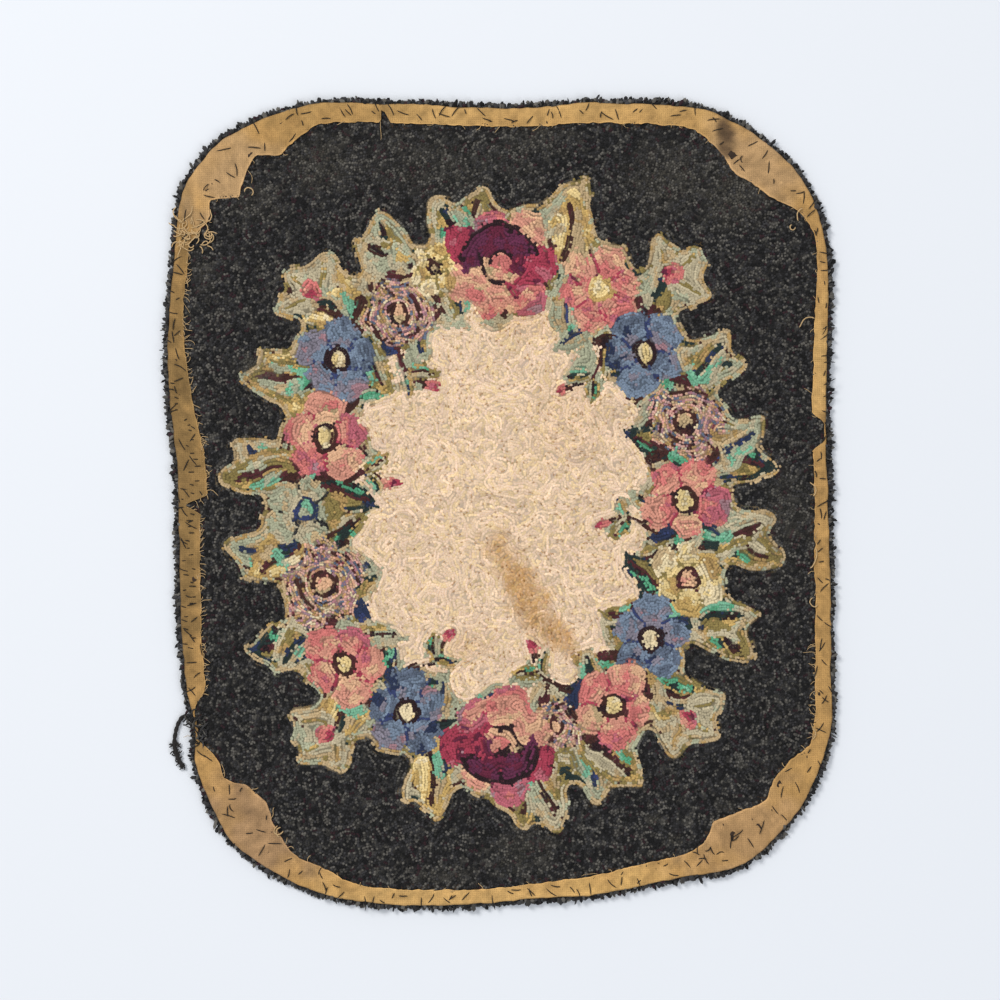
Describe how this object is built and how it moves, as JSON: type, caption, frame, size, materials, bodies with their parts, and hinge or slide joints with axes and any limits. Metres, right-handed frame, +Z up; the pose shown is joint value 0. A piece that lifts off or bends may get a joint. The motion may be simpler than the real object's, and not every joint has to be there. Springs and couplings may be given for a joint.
{
  "type": "hooked rug",
  "caption": "Old hooked rug lying flat with its back up: floral wreath on a cream centre and charcoal field, margin turned over and tacked, one yarn loose.",
  "frame": {"origin": "on the floor, under the middle of the rug's outline box", "axes": "+X to the right and +Y to the top of the figured design as seen from above, +Z up, out of the back of the rug"},
  "size_m": [0.6886, 0.8316, 0.0094],
  "materials": {
    "hooked_wool": "short flat stitches of wool yarn and rag strips hooked through burlap, matt, dusty",
    "black_yarn": "black wool yarn, matt and fuzzy",
    "burlap": "plain-woven jute, golden tan, faded to pinkish tan on the corner flaps, matt",
    "sewing_thread": "dark twisted cotton thread, matt",
    "raw_thread": "raw jute threads, pale and frayed"
  },
  "bodies": {
    "root": {"rug": "hooked_wool", "loose_yarn": "black_yarn"}
  },
  "joints": []
}
